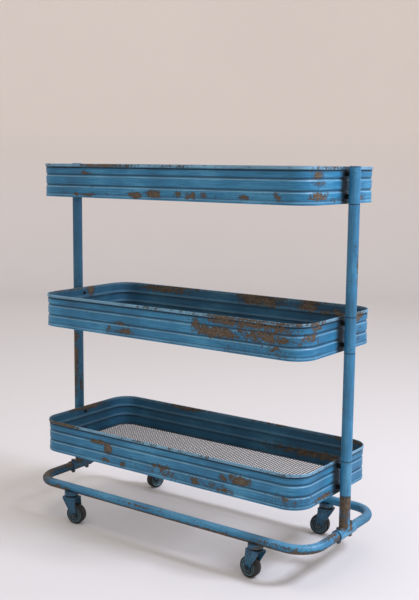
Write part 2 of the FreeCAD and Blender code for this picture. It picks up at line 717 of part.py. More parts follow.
def make_fork(label, x, y, turn):
    """Pressed fork: a crown and two legs that narrow to the axle."""
    body = new_body(label)
    side = new_sketch(body, "XZ_Plane")
    outline(side, [
        ("-Sizes.fork_half_length", crown_top),
        ("-Sizes.fork_half_length", f"{crown_top} - Sizes.fork_drop"),
        ("Sizes.trail - Sizes.fork_eye * cos(Sizes.fork_toe)",
         f"{axle_height} - Sizes.fork_eye * sin(Sizes.fork_toe)", "Sizes.fork_eye", 1),
        ("Sizes.trail + Sizes.fork_eye", axle_height),
        ("Sizes.fork_half_length", f"{crown_top} - Sizes.fork_drop"),
        ("Sizes.fork_half_length", crown_top),
    ])
    pad(body, side, fork_width, both_ways=True)
    doc.recompute()
    block, edges = body.Tip, crown_edges(body.Tip.Shape)
    bend = body.newObject("PartDesign::Fillet", label + "_bend")
    bend.Base = (block, edges)
    bend.setExpression("Radius", "Sizes.fork_bend")
    inside = new_sketch(body, "YZ_Plane")
    inner = f"({fork_width} / 2 - Sizes.crown_thick)"
    outline(inside, [
        (f"-{inner}", f"-{crown_top}"),
        (inner, f"-{crown_top}"),
        (inner, f"{crown_top} - Sizes.crown_thick"),
        (f"-{inner}", f"{crown_top} - Sizes.crown_thick"),
    ])
    pocket(body, inside, f"{crown_top} * 2")
    stem = new_sketch(body, "XY_Plane")
    circle(stem, "0", "0", "Sizes.pin_d / 2 + Sizes.run_gap")
    pocket(body, stem, f"{crown_top} * 4")
    eye = new_sketch(body, "XZ_Plane")
    circle(eye, "Sizes.trail", axle_height, "Sizes.bolt_d / 2 + Sizes.hole_gap")
    pocket(body, eye, f"{fork_width} * 2")
    place(body, x, y, turn=turn)
    keep(body, label)


def crown_edges(shape):
    """The two long top edges of the fork, where crown turns into leg."""
    names = []
    top = size(crown_top)
    for number, edge in enumerate(shape.Edges, start=1):
        box = edge.BoundBox
        if box.ZMin > top - 1e-6 and box.XLength > 1 and box.YLength < 1e-6:
            names.append(f"Edge{number}")
    return names


def hub_points():
    """Half section of the wheel hub, axle along the sketch's x.

    Outwards from the bore: middle boss, web, raised ring, web, rim.
    """
    bore = "Sizes.bolt_d / 2 + Sizes.run_gap"
    rim = "Sizes.wheel_d / 2 - Sizes.tyre_height"
    boss_foot = f"{bore} + Sizes.hub_boss_wall"
    rim_foot = f"{rim} - Sizes.hub_rim_wall"
    halfway = f"({boss_foot} + {rim_foot}) / 2"
    web = f"{hub_half} - Sizes.hub_dish"
    ring_top = f"{web} + Sizes.hub_ring_height"
    rim_side = f"{hub_half} - Sizes.hub_rim_set"
    steps = [
        (hub_half, bore),
        (hub_half, f"{boss_foot} - 2 * Sizes.hub_draft"),
        (web, boss_foot),
        (web, f"{halfway} - Sizes.hub_ring_width / 2"),
        (ring_top, f"{halfway} - Sizes.hub_ring_width / 2 + Sizes.hub_draft"),
        (ring_top, f"{halfway} + Sizes.hub_ring_width / 2 - Sizes.hub_draft"),
        (web, f"{halfway} + Sizes.hub_ring_width / 2"),
        (web, rim_foot),
        (rim_side, f"{rim_foot} + 2 * Sizes.hub_draft"),
        (rim_side, rim),
    ]
    return steps + [(f"-({x})", y) for x, y in reversed(steps)]


def tyre_points():
    """Half section of the tyre: flat seat, chamfered sides, crowned tread."""
    half = "Sizes.wheel_width / 2"
    edge = f"({half} - Sizes.tyre_edge)"
    seat = "Sizes.wheel_d / 2 - Sizes.tyre_height"
    shoulder = "Sizes.wheel_d / 2 - Sizes.tread_crown"
    tread = f"({edge} ^ 2 + Sizes.tread_crown ^ 2) / (2 * Sizes.tread_crown)"
    return [
        (f"-{edge}", seat),
        (edge, seat),
        (half, f"{seat} + Sizes.tyre_edge"),
        (half, f"{shoulder} - Sizes.tyre_edge"),
        (edge, shoulder, tread, 1),
        (f"-{edge}", shoulder),
        (f"-{half}", f"{shoulder} - Sizes.tyre_edge"),
        (f"-{half}", f"{seat} + Sizes.tyre_edge"),
    ]


def axle_side(piece, x, y, turn, offset):
    """Lay a +Z form along the axle, at offset from the wheel's middle."""
    spin = Rotation(Vector(0, 0, 1), turn)
    lay = Rotation(Vector(1, 0, 0), 90)
    spot = spin.multVec(Vector(size("Sizes.trail"), offset, size(axle_height)))
    piece.Placement = Placement(Vector(size(x), size(y), 0) + spot, spin.multiply(lay))


for name, x_side, y_side, turn in CASTERS:
    x, y = caster_x(x_side), caster_y(y_side)
    make_fork(f"{name}_fork", x, y, turn)
    spin = math.radians(turn)
    wheel_x = f"{x} + Sizes.trail * {math.cos(spin):.9f}"
    wheel_y = f"{y} + Sizes.trail * {math.sin(spin):.9f}"
    hub = turned(f"{name}_wheel_hub", hub_points(), "H_Axis", "YZ_Plane")
    tyre = turned(f"{name}_tyre", tyre_points(), "H_Axis", "YZ_Plane")
    for piece in (hub, tyre):
        place(piece, wheel_x, wheel_y, axle_height, turn)
        keep(piece, piece.Name)
    axle = hex_bolt(f"{name}_axle_bolt", fork_width)
    axle_side(axle, x, y, turn, -size(leg_outside))
    keep(axle, f"{name}_axle_bolt")
    nut = hex_nut(f"{name}_axle_nut")
    axle_side(nut, x, y, turn, size(leg_outside))
    keep(nut, f"{name}_axle_nut")

# ------------------------------------------------------------ check and write
doc.recompute()
for item in doc.Objects:
    if "Invalid" in item.State or "Error" in item.State:
        raise RuntimeError(f"{item.Label} failed: {item.State}")
for piece in pieces:
    if piece.Shape.isNull() or not piece.Shape.isValid():
        raise RuntimeError(f"{piece.Label} has no valid shape")

os.makedirs("parts", exist_ok=True)
for piece in pieces:
    piece.Shape.exportStep(f"parts/{piece.Label}.step")
    print(piece.Label, len(piece.Shape.Solids), round(piece.Shape.Volume, 1))
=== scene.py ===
import bpy
import json
import math
import mathutils
import numpy as np
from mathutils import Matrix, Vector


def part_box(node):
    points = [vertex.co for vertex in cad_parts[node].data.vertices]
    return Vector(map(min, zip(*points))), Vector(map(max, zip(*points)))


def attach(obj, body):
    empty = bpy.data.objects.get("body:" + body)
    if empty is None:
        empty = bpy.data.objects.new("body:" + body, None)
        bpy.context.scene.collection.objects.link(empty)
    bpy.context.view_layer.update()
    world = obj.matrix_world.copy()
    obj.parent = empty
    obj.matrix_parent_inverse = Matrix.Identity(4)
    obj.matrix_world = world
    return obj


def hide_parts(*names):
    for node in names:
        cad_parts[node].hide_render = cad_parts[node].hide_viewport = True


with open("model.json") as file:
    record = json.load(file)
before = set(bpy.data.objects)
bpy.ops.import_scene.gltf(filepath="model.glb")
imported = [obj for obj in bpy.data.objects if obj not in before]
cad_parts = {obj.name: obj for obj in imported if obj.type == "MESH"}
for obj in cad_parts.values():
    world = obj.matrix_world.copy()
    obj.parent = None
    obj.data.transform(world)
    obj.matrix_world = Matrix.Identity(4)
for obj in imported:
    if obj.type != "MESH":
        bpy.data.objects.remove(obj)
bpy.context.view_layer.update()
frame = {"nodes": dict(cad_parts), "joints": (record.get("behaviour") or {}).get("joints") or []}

mm = 0.001
seed = 11
print("frame loaded:", len(frame["nodes"]), "CAD nodes")


def hexColour(code):
    # sRGB hex to linear: c / 12.92 near black, else ((c + 0.055) / 1.055) to the power 2.4
    part = np.array([int(code[i:i + 2], 16) for i in (1, 3, 5)]) / 255
    linear = np.where(part <= 0.04045, part / 12.92, ((part + 0.055) / 1.055) ** 2.4)
    return (*linear.tolist(), 1.0)


def addNode(material, kind, inputs, stops=(), out=0, **settings):
    # Adds a node: settings are its properties, inputs its sockets' values or links, stops a ramp's
    # (place, hex colour). Gives back one output
    node = material.node_tree.nodes.new(kind)
    for name, value in settings.items():
        setattr(node, name, value)
    for place, (at, code) in enumerate(stops):
        ramp = node.color_ramp.elements
        stop = ramp[place] if place < len(ramp) else ramp.new(at)
        stop.position = at
        stop.color = hexColour(code)
    for name, value in inputs.items():
        if isinstance(value, bpy.types.NodeSocket):
            material.node_tree.links.new(value, node.inputs[name])
        else:
            node.inputs[name].default_value = hexColour(value) if isinstance(value, str) else value
    return node.outputs[out] if len(node.outputs) else node


def newMaterial(name):
    # A node material with nothing in it yet
    material = bpy.data.materials.new(name)
    material.use_nodes = True
    material.node_tree.nodes.clear()
    return material


def finishMaterial(material, colour, roughness, normal, metallic=0.0):
    # The shader itself: what is the same all over goes straight on its socket
    shader = addNode(material, "ShaderNodeBsdfPrincipled", {
        "Base Color": colour, "Roughness": roughness, "Normal": normal, "Metallic": metallic})
    addNode(material, "ShaderNodeOutputMaterial", {"Surface": shader})
    return material


def edgeMask(material, radius):
    # The rounded normal dotted with the real one, turned over and stretched to 0..1: high along edges
    rounded = addNode(material, "ShaderNodeBevel", {"Radius": radius * mm}, samples=4)
    real = addNode(material, "ShaderNodeNewGeometry", {}, out="Normal")
    lean = addNode(material, "ShaderNodeVectorMath", {0: rounded, 1: real}, out="Value",
                   operation="DOT_PRODUCT")
    return addNode(material, "ShaderNodeMapRange", {"Value": lean, "From Min": 0.985, "From Max": 0.86})


def gridFaces(rows, columns, closedRows, closedColumns):
    # Quad corners of a grid of points; a closed direction joins its last line to its first
    row = np.arange(rows if closedRows else rows - 1)
    column = np.arange(columns if closedColumns else columns - 1)
    a, b = np.meshgrid(row, column, indexing="ij")
    corners = [(a, b), (a + 1, b), (a + 1, b + 1), (a, b + 1)]
    index = np.stack([(i % rows) * columns + j % columns for i, j in corners], -1)
    spread = np.stack([i * (columns + 1) + j for i, j in corners], -1)
    return index.reshape(-1, 4), spread.reshape(-1, 4)


def enclosedVolume(points, faces):
    # Sum of a . (b x c) / 6 over the triangles: negative when the faces point inwards
    a, b, c, d = (points[faces[:, i]] for i in range(4))
    return float((a * (np.cross(b, c) + np.cross(c, d))).sum() / 6)


def meshPiece(name, points, faces, body, slot, material, skin=None, marks=None, sharp=35.0):
    # Puts arrays into a mesh, faces outwards, smooth but for edges sharper than the angle
    if enclosedVolume(points, faces) < 0:
        faces = faces[:, ::-1]
        skin = None if skin is None else skin[:, ::-1]
    mesh = bpy.data.meshes.new(name)
    mesh.from_pydata(points, [], faces)
    mesh.polygons.foreach_set("use_smooth", np.ones(len(faces), bool))
    if skin is not None:
        mesh.uv_layers.new(name="skin").data.foreach_set("uv", skin.astype(np.float32).ravel())
    for mark, values in (marks or {}).items():
        layer = mesh.attributes.new(mark, "FLOAT", "POINT")
        layer.data.foreach_set("value", values.astype(np.float32).ravel())
    mesh.update()
    mesh.set_sharp_from_angle(angle=math.radians(sharp))
    mesh.materials.append(material)
    piece = bpy.data.objects.new(name, mesh)
    bpy.context.scene.collection.objects.link(piece)
    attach(piece, body)
    return piece


def gridPiece(name, points, along, across, closed, body, slot, material, marks):
    # A grid surface, with its skin map in metres: along has a value for each row, across for each column
    rows, columns = points.shape[:2]
    faces, spread = gridFaces(rows, columns, *closed)
    alongAll = np.append(along, 2 * along[-1] - along[-2])
    acrossAll = np.append(across, 2 * across[-1] - across[-2])
    flat = np.stack(np.meshgrid(alongAll, acrossAll, indexing="ij"), -1).reshape(-1, 2)
    return meshPiece(name, points.reshape(-1, 3), faces, body, slot, material, flat[spread], marks)


def spotMark(along, across, spots):
    # Each spot (s, h, a, b, strength) is exp(-|ds / a| ^ 2.4 - |dh / b| ^ 2.4) times its strength, and
    # where spots overlap the stronger one counts
    mark = np.zeros(np.broadcast(along, across).shape)
    for s, h, a, b, strength in spots:
        blob = np.exp(-np.abs((along - s) / a) ** 2.4 - np.abs((across - h) / b) ** 2.4)
        mark = np.maximum(mark, strength * blob)
    return mark


# Blue paint, brushed on by hand over steel that has rusted: streaks, chips, pale ridges that are partly
# rubbed paint and partly painted highlight, grime and painted shade

paint = {
    "deep": "#124E6C",      # thin paint in the brush furrows
    "middle": "#1E7098",
    "pale": "#52A0C4",      # chalky top of the brush strokes
    "ridgeRubAndHighlight": "#A3C6D4",     # pale: painted highlight on the walls' folds and the rails' tops, paint rubbed thin on the fittings' edges
    # near black: real grime and stains, and painted shade in creases, under the rim, inside the trays,
    # under the rails and in their bores
    "grimeAndShade": "#0B1A21",
    "rust": "#524333",
    "rustDark": "#1D1613",
    "rustGrey": "#6B6355",
    "streakLength": 70.0,   # mm
    "streakWidth": 2.6,     # mm; a real bristle mark is 0.5 mm wide and is drawn coarser to show
    "patch": 130.0,         # mm, slow change of shade
    "blotch": 30.0,         # mm, breaks up the outline of a worn place
    "chip": 9.0,            # mm, size of one flake of lost paint
    "pit": 3.6,             # mm, size of the little pits; drawn at twice their real size
    "roughness": 0.46,
}


def brushedPaint(name, look, onSkin=True, loose=0.0, shade=1.0, streaky=1.0):
    # Alkyd enamel brushed over rusted sheet: satin, streaky along the stroke, matt brown where it has
    # flaked. Each value is a start plus weighted other values, and a smooth step where it has two ends
    material = newMaterial(name)
    place = addNode(material, "ShaderNodeTexCoord", {}, out="Object")
    long, wide = 1000 / look["streakLength"], 1000 / look["streakWidth"]
    if onSkin:
        stroke = addNode(material, "ShaderNodeUVMap", {}, uv_map="skin")
        value = {mark: addNode(material, "ShaderNodeAttribute", {}, out="Fac", attribute_name=mark)
                 for mark in ("bare", "pale", "grimeAndShade")}
        stretch = (long, wide, 1.0)
    else:
        stroke = place
        value = {"pale": edgeMask(material, 1.2), "grimeAndShade": 0.0}
        value["bare"] = addNode(material, "ShaderNodeMath", {0: value["pale"], 1: 0.25, 2: loose},
                                operation="MULTIPLY_ADD")
        stretch = (wide, wide, long)
    drawn = addNode(material, "ShaderNodeVectorMath", {0: stroke, 1: stretch}, operation="MULTIPLY")
    for noise, where, size, detail, rough in (
            ("streak", drawn, 1000, 4.0, 0.62), ("slow", place, look["patch"], 3.0, 0.55),
            ("blotch", place, look["blotch"], 3.0, 0.6), ("flake", place, look["chip"], 6.0, 0.7),
            ("grain", place, look["pit"], 3.0, 0.6)):
        value[noise] = addNode(material, "ShaderNodeTexNoise", {
            "Vector": where, "Scale": 1000 / size, "Detail": detail, "Roughness": rough})

    for result, start, terms, step in (
            ("worn", "bare", {"flake": 1.3, "grain": 0.25, "slow": 0.16, "blotch": 0.6}, None),
            ("chip", "worn", {}, (1.46, 1.50)),      # flaked off
            ("halo", "worn", {}, (1.32, 1.47)),      # stained round the flakes
            ("pit", "grain", {"slow": 0.3, "bare": 0.42}, (0.82, 0.86)),
            ("tone", 0.3 * (1 - streaky), {"slow": 0.6, "streak": 0.6 * streaky}, None),
            ("rustTone", -1.78, {"streak": 0.76, "grain": 1.3, "worn": 0.76}, None),
            ("rubAndHighlightDepth", 0.0, {"streak": 0.9}, None),
            ("rubbedAndHighlit", 0.0, {"pale": "rubAndHighlightDepth"}, None),
            ("grimeAndShadeDepth", 0.55, {"streak": 0.7}, None),
            ("grimeAndShadeAmount", 0.0, {"grimeAndShade": "grimeAndShadeDepth"}, None),
            ("stain", 0.0, {"halo": 0.4}, None),
            ("pinhole", 0.0, {"pit": 0.75}, None),
            ("gloss", look["roughness"] - 0.1, {"streak": 0.2, "grimeAndShadeAmount": 0.35}, None),
            ("relief", 0.0, {"streak": 0.35, "grain": 0.15, "chip": -0.6, "pit": -0.3}, None)):
        total = value.get(start, start)
        for term, weight in terms.items():
            total = addNode(material, "ShaderNodeMath", {
                0: value[term], 1: value.get(weight, weight), 2: total}, operation="MULTIPLY_ADD")
        if step:
            total = addNode(material, "ShaderNodeMapRange", {
                "Value": total, "From Min": step[0], "From Max": step[1]}, interpolation_type="SMOOTHSTEP")
        value[result] = total

    # blue by slow change and streaks, then paler folds (painted highlight on walls and rails, rubbed paint
    # on fittings), grime and painted shade, stain, pinholes and bare rust over it
    colour = addNode(material, "ShaderNodeValToRGB", {"Fac": value["tone"]}, stops=[
        (0.38, look["deep"]), (0.60, look["middle"]), (0.84, look["pale"])])
    rust = addNode(material, "ShaderNodeValToRGB", {"Fac": value["rustTone"]}, stops=[
        (0.05, look["rustDark"]), (0.45, look["rust"]), (0.85, look["rustGrey"])])
    for factor, over in (("rubbedAndHighlit", look["ridgeRubAndHighlight"]), ("grimeAndShadeAmount", look["grimeAndShade"]), ("stain", look["grimeAndShade"]),
                         ("pinhole", look["rustDark"]), ("chip", rust)):
        colour = addNode(material, "ShaderNodeMix", {0: value[factor], 6: colour, 7: over}, out=2,
                         data_type="RGBA")
    # painted shade: a shade below 1 multiplies the whole colour, giving a darker copy of the same paint
    if shade != 1.0:
        colour = addNode(material, "ShaderNodeMix", {0: 1.0, 6: colour, 7: (shade, shade, shade, 1.0)},
                         out=2, data_type="RGBA", blend_type="MULTIPLY")
    # satin paint, matt where the grime and painted shade mark lies, and on rust
    roughness = addNode(material, "ShaderNodeMix", {0: value["chip"], 2: value["gloss"], 3: 0.85})
    normal = addNode(material, "ShaderNodeBump", {
        "Height": value["relief"], "Strength": 0.6, "Distance": 0.0005})
    return finishMaterial(material, colour, roughness, normal)


fittingLook = {**paint, "streakLength": 12.0, "streakWidth": 5.0, "chip": 6.0}
tubeLook = {**paint, "streakLength": 60.0, "streakWidth": 5.0}
sheetPaint = brushedPaint("brushedPaintOnSheet", paint)
tubePaint = brushedPaint("brushedPaintOnTube", tubeLook, streaky=0.6)
# darker copies of one paint, painted shade: fittings at 0.9, bosses at 0.7 and forks at half under the
# rails
fittingPaint = brushedPaint("brushedPaintOnFittings", fittingLook, onSkin=False, loose=0.20, shade=0.9)
forkPaint = brushedPaint("brushedPaintOnForks", fittingLook, onSkin=False, loose=0.16, shade=0.5)
bossPaint = brushedPaint("wornPaintOnBosses", fittingLook, onSkin=False, loose=0.26, shade=0.7)


# Other finishes

def speckledMaterial(name, dark, light, stain, stainLevel, spotSize, rough, metallic, relief, dust=0.0):
    # Two shades by noise of a real spot size, stained where a slower noise passes a level, light edges
    material = newMaterial(name)
    place = addNode(material, "ShaderNodeTexCoord", {}, out="Object")
    speck, bloom = (addNode(material, "ShaderNodeTexNoise", {
        "Vector": place, "Scale": 1000 / size, "Detail": detail, "Roughness": fine})
        for size, detail, fine in ((spotSize, 5.0, 0.6), (spotSize * 9, 4.0, 0.65)))
    if dust:
        settled = addNode(material, "ShaderNodeAttribute", {}, out="Fac", attribute_name="dust")
        bloom = addNode(material, "ShaderNodeMath", {0: settled, 1: dust, 2: bloom},
                        operation="MULTIPLY_ADD")
    stained = addNode(material, "ShaderNodeMapRange", {
        "Value": bloom, "From Min": stainLevel - 0.05, "From Max": stainLevel + 0.05})
    edge = addNode(material, "ShaderNodeMath", {0: edgeMask(material, 0.5), 1: speck},
                   operation="MULTIPLY")
    lighter = tuple(min(1.0, 1.7 * part + 0.01) for part in hexColour(light)[:3]) + (1.0,)
    colour = addNode(material, "ShaderNodeValToRGB", {"Fac": speck}, stops=[(0.35, dark), (0.65, light)])
    for factor, over in ((stained, stain), (edge, lighter)):
        colour = addNode(material, "ShaderNodeMix", {0: factor, 6: colour, 7: over}, out=2,
                         data_type="RGBA")
    roughness = addNode(material, "ShaderNodeMath", {0: speck, 1: 0.25, 2: rough - 0.12},
                        operation="MULTIPLY_ADD")
    normal = addNode(material, "ShaderNodeBump", {
        "Height": speck, "Strength": 0.5, "Distance": relief * mm})
    return finishMaterial(material, colour, roughness, normal, metallic)


# mild steel wire, zinc plated: drawn dark grey, with brown blooms
meshWire = speckledMaterial("darkGreyZincWire", "#2A2D2F", "#565B5E", "#3F3226",
                            stainLevel=0.58, spotSize=1.6, rough=0.5, metallic=0.3, relief=0.05)
# steel screws and nuts, zinc plated, handled: dull grey with brown in it
zincFastener = speckledMaterial("dullZincPlate", "#2B3033", "#5A6266", "#3A2D22",
                                stainLevel=0.62, spotSize=1.2, rough=0.45, metallic=0.8, relief=0.03)
# pins and cups, black phosphated steel: near black, oily
darkSteel = speckledMaterial("phosphatedSteel", "#101112", "#232425", "#191512",
                             stainLevel=0.62, spotSize=1.5, rough=0.5, metallic=0.7, relief=0.03)
# balls, ground bearing steel: bright with a film of dark grease
bearingSteel = speckledMaterial("groundBallSteel", "#8A8D90", "#B9BBBD", "#3B3C3D",
                                stainLevel=0.6, spotSize=1.0, rough=0.25, metallic=1.0, relief=0.01)
# hubs, moulded nylon: grey-blue, satin, dirt in the hollows
hubNylon = speckledMaterial("mouldedNylonHub", "#26414C", "#4B6A75", "#141C1F",
                            stainLevel=0.62, spotSize=2.4, rough=0.5, metallic=0.0,
                            relief=0.05, dust=0.2)
# tyres, vulcanised rubber: black sides, tread scuffed to a dusty brown-grey
tyreRubber = speckledMaterial("scuffedRubber", "#09090A", "#191919", "#2C2926",
                              stainLevel=0.62, spotSize=1.4, rough=0.7, metallic=0.0,
                              relief=0.12, dust=0.12)

finishes = {
    "painted_tube": fittingPaint,
    "painted_sheet": fittingPaint,
    "painted_fork": forkPaint,
    "mesh_wire": meshWire,
    "zinc_fasteners": zincFastener,
    "dark_steel": darkSteel,
    "bearing_steel": bearingSteel,
    "wheel_hub": hubNylon,
    "tyre_rubber": tyreRubber,
}
looser = {"boss": bossPaint}
for name, node in frame["nodes"].items():
    for slot in node.material_slots:
        slot.material = looser.get(name.split("_")[-1], finishes[slot.material.name.split(".")[0]])
print("finishes made:", len(bpy.data.materials))


# Tray walls: one pressed sheet carried round the tray

levels = ["bottom", "middle", "top"]
tray = {
    "sheet": 1.2,          # mm
    "flange": 9.0,
    "corner": 51.0,        # outside radius
    "grooveDepth": 2.2,
    "grooveHalf": 4.2,
    "grooveLow": 29.0,     # above the bottom edge
    "grooveHigh": 26.5,    # below the top of the rim
    "rimHeight": 7.5,
    "rimProud": 1.7,
    "rimRound": 1.2,       # radius of the rim's top edges
    "undercut": 0.8,       # below the rim
    "hemHeight": 6.5,
    "hemProud": 0.9,
    "ripple": 0.35,        # how far the thin sheet waves in
    "step": 5.0,           # mm between two lines of points
}

# Worn places of each wall, outside and inside: along from the middle of the front towards the right end
# and so round, height above the bottom edge, half length, half height, how bare. All in mm.
wornOutside = {
    "top": [(-232, 8, 42, 6, 0.5), (-70, 11, 28, 7, 0.5), (-14, 14, 22, 10, 0.52),
            (56, 14, 12, 9, 0.42), (90, 13, 18, 9, 0.42), (126, 13, 11, 8, 0.4),
            (233, 14, 24, 6, 0.42), (-222, 60, 28, 5, 0.45), (318, 16, 16, 10, 0.34),
            (417, 63, 24, 10, 0.5), (424, 44, 26, 9, 0.44), (418, 18, 32, 9, 0.58),
            (-302, 12, 9, 5, 0.36), (480, 10, 30, 5, 0.36), (590, 62, 20, 5, 0.5),
            (598, 13, 28, 8, 0.55), (-170, 78, 90, 5, 0.4), (20, 14, 330, 8, 0.14),
            (-900, 20, 60, 20, 0.4), (800, 40, 90, 14, 0.4)],
    "middle": [(-108, 13, 30, 8, 0.55), (-156, 14, 13, 11, 0.42), (-120, 33, 36, 7, 0.34),
               (108, 58, 14, 17, 0.5), (164, 43, 62, 15, 0.56), (250, 68, 145, 9, 0.5),
               (250, 79, 150, 4, 0.36), (292, 47, 95, 22, 0.42), (330, 44, 40, 14, 0.46),
               (318, 23, 24, 9, 0.36), (410, 50, 26, 12, 0.42), (425, 68, 24, 8, 0.4),
               (300, 12, 120, 12, 0.2), (604, 70, 40, 9, 0.55), (620, 30, 14, 20, 0.3),
               (-560, 30, 60, 14, 0.4), (-1000, 50, 120, 16, 0.42), (850, 20, 60, 12, 0.5)],
    "bottom": [(186, 40, 15, 10, 0.5), (232, 41, 38, 12, 0.5), (-200, 53, 30, 6, 0.5),
               (-160, 42, 14, 14, 0.62), (-168, 12, 22, 8, 0.42), (-115, 11, 14, 8, 0.42),
               (38, 13, 38, 11, 0.34), (110, 15, 16, 12, 0.5), (168, 12, 48, 13, 0.34),
               (-2, 28, 42, 9, 0.3), (60, 18, 150, 14, 0.22), (360, 20, 60, 16, 0.26),
               (-310, 78, 60, 5, 0.4), (470, 10, 50, 7, 0.42), (-600, 60, 50, 8, 0.45),
               (900, 44, 90, 14, 0.42)],
}
wornInside = {
    "top": [(900, 40, 150, 20, 0.4), (-800, 60, 90, 14, 0.4)],
    "middle": [(-562, 68, 14, 17, 0.6), (-830, 70, 90, 10, 0.44), (1005, 66, 80, 14, 0.5),
               (860, 66, 34, 14, 0.56), (780, 56, 70, 12, 0.4), (720, 40, 50, 10, 0.42),
               (1080, 74, 120, 6, 0.4)],
    "bottom": [(-340, 62, 60, 9, 0.5), (840, 22, 130, 14, 0.5), (740, 52, 40, 16, 0.42),
               (-900, 74, 50, 7, 0.45), (-560, 74, 70, 7, 0.42), (700, 74, 120, 6, 0.4)],
}


def arcBump(height, centre, half):
    # 1 - (dh / half) ^ 2 inside the half height, 0 outside
    return np.clip(1 - ((height - centre) / half) ** 2, 0, None)


def boxBump(height, low, high):
    # Flat-topped bulge with round edges: (1 - |dh / half| ^ 6) ^ 0.5
    middle, half = (low + high) / 2, (high - low) / 2
    return np.sqrt(np.clip(1 - np.abs((height - middle) / half) ** 6, 0, None))


def wallSection(total):
    # Closed section, outwards and upwards in mm: up the outside, over the rim, down the inside, along
    # the flange. Outside is the sum of arc bumps for the grooves and flat-topped ones for rim and hem
    grooves = [tray["grooveLow"], total - tray["grooveHigh"]]
    fine = [np.linspace(c - tray["grooveHalf"] - 0.4, c + tray["grooveHalf"] + 0.4, 13) for c in grooves]
    rimLow = total - tray["rimHeight"]
    rimSteps = rimLow + tray["rimHeight"] * (1 - np.cos(np.linspace(0, math.pi, 11))) / 2
    hemSteps = tray["hemHeight"] * (1 - np.cos(np.linspace(0, math.pi, 8))) / 2
    height = np.unique(np.concatenate([hemSteps, *fine, rimSteps, np.linspace(8, rimLow - 4, 13),
                                       np.linspace(rimLow - 3.4, rimLow, 7)]))
    pressed = sum(arcBump(height, c, tray["grooveHalf"]) for c in grooves)
    rim = boxBump(height, rimLow, total)
    outside = -tray["grooveDepth"] * pressed + tray["rimProud"] * rim
    outside += tray["hemProud"] * boxBump(height, 0, tray["hemHeight"])
    outside -= tray["undercut"] * boxBump(height, rimLow - 3.4, rimLow)
    up = np.stack([outside, height], -1)
    inner = height[(height > tray["sheet"]) & (height < total)][::-1]
    pressedIn = sum(arcBump(inner, c, tray["grooveHalf"] + 0.4) for c in grooves)
    r = tray["rimRound"]
    topRound = r * (1 - np.sqrt(np.clip(1 - ((inner - total + r) / r).clip(0, 1) ** 2, 0, 1)))
    down = np.stack([-tray["sheet"] - tray["grooveDepth"] * pressedIn + topRound, inner], -1)
    over = np.array([[tray["rimProud"] - 1.0, total], [-0.2, total]])
    up = up[:-1]
    flange = np.array([
        [-tray["sheet"], tray["sheet"]], [-tray["flange"], tray["sheet"]], [-tray["flange"], 0.0]])
    section = np.concatenate([up, over, down, flange])
    inside = np.concatenate([np.zeros(len(up) + 1), np.ones(len(section) - len(up) - 1)])
    return section, inside


def trayPath(length, width, corner, step):
    # A rounded rectangle once round: points, outward directions and the distance along, which is 0 at
    # the middle of the front. out turns by distance / corner through each arc, and each point is the
    # straight part plus corner times out
    x, y = length / 2 - corner, width / 2 - corner
    arc = corner * math.pi / 2
    half = np.concatenate([
        np.linspace(0, x, round(x / step), endpoint=False),
        x + np.linspace(0, arc, round(arc / (step * 0.6)), endpoint=False),
        x + arc + np.linspace(0, 2 * y, round(2 * y / step), endpoint=False),
        x + arc + 2 * y + np.linspace(0, arc, round(arc / (step * 0.6)), endpoint=False),
        2 * (y + arc) + x + np.linspace(0, x, round(x / step)),
    ])
    turn = (np.clip(half - x, 0, arc) + np.clip(half - x - arc - 2 * y, 0, arc)) / corner
    out = np.stack([np.sin(turn), -np.cos(turn)], -1)
    run = np.clip(half, 0, x) - np.clip(half - x - 2 * arc - 2 * y, 0, x)
    rise = np.clip(half - x - arc, 0, 2 * y) - y
    points = np.stack([run, rise], -1) + corner * out
    mirrored = np.array([-1.0, 1.0])
    left = slice(-2, 0, -1)
    points = np.concatenate([points[left] * mirrored, points])
    out = np.concatenate([out[left] * mirrored, out])
    return points, out, np.concatenate([-half[left], half])


